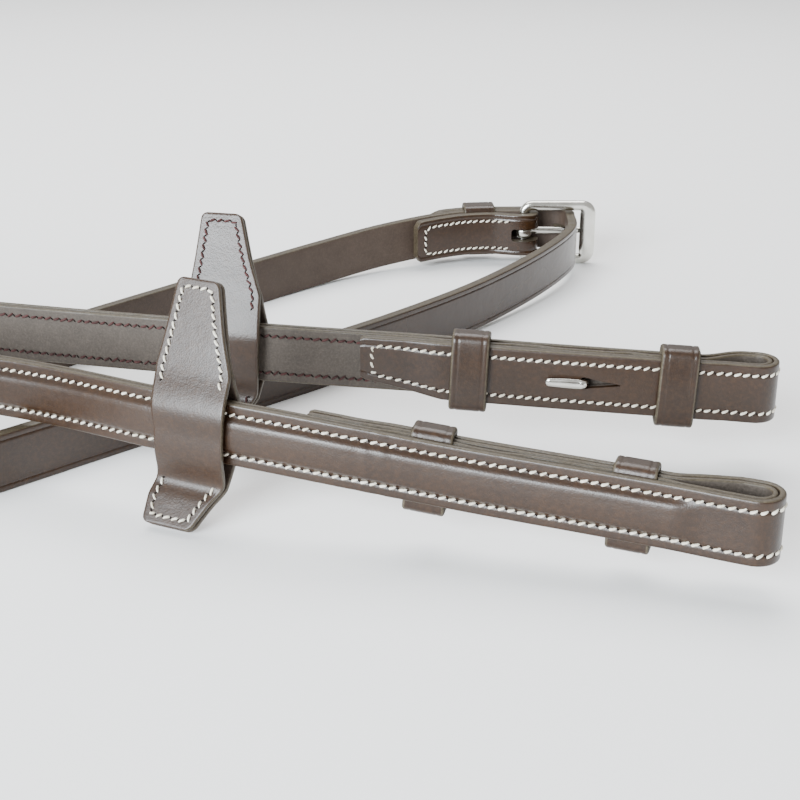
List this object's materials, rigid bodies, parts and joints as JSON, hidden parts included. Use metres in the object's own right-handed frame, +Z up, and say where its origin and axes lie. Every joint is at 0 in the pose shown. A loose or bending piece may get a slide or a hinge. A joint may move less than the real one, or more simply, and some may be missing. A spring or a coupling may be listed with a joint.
{
  "type": "pair of snaffle bridle reins",
  "caption": "Pair of brown leather snaffle reins, buckled at the hand end, with hook-stud bit ends and leather rein stops.",
  "frame": {"origin": "table height, under the middle of the laid-out pair's box", "axes": "+X from the loops of slack towards the bit ends, +Y away from the viewer, +Z up; straps stand on edge"},
  "size_m": [0.5106, 0.2944, 0.0629],
  "materials": {
    "chocolate_leather": "smooth waxed bridle leather",
    "lining_leather": "matt flesh-side lining leather",
    "filler_leather": "undyed filler leather",
    "nickel_metal": "polished nickel plate",
    "white_thread": "waxed linen thread",
    "brown_thread": "waxed linen thread"
  },
  "bodies": {
    "reins": {"buckle_rein_strap": "chocolate_leather", "buckle_rein_keeper_near_bit": "chocolate_leather", "buckle_rein_keeper_near_hand": "chocolate_leather", "buckle_rein_lining": "lining_leather", "buckle_rein_filler": "filler_leather", "buckle_rein_hook_stud": "nickel_metal", "buckle_rein_stud_plate": "nickel_metal", "point_rein_strap": "chocolate_leather", "point_rein_keeper_near_bit": "chocolate_leather", "point_rein_keeper_near_hand": "chocolate_leather", "point_rein_lining": "lining_leather", "point_rein_filler": "filler_leather", "point_rein_hook_stud": "nickel_metal", "point_rein_stud_plate": "nickel_metal", "buckle_frame": "nickel_metal", "hand_keeper": "chocolate_leather"},
    "buckle_rein_stop": {"buckle_rein_stop_front": "chocolate_leather", "buckle_rein_stop_back": "chocolate_leather"},
    "point_rein_stop": {"point_rein_stop_front": "chocolate_leather", "point_rein_stop_back": "chocolate_leather"},
    "prong": {"buckle_prong": "nickel_metal"}
  },
  "joints": [
    {"name": "buckle_rein_stop_slide", "type": "slide", "parent": "reins", "child": "buckle_rein_stop", "axis": [0.9187, -0.3941, -0.0253], "range_m": [-0.009, 0.009]},
    {"name": "point_rein_stop_slide", "type": "slide", "parent": "reins", "child": "point_rein_stop", "axis": [0.9777, -0.2102, -0.0032], "range_m": [-0.003, 0.016]},
    {"name": "buckle_prong_pivot", "type": "hinge", "parent": "reins", "child": "prong", "pos_m": [0.20385, 0.1359, 0.0125], "axis": [0, 0, 1], "range_deg": [0, 5]}
  ]
}
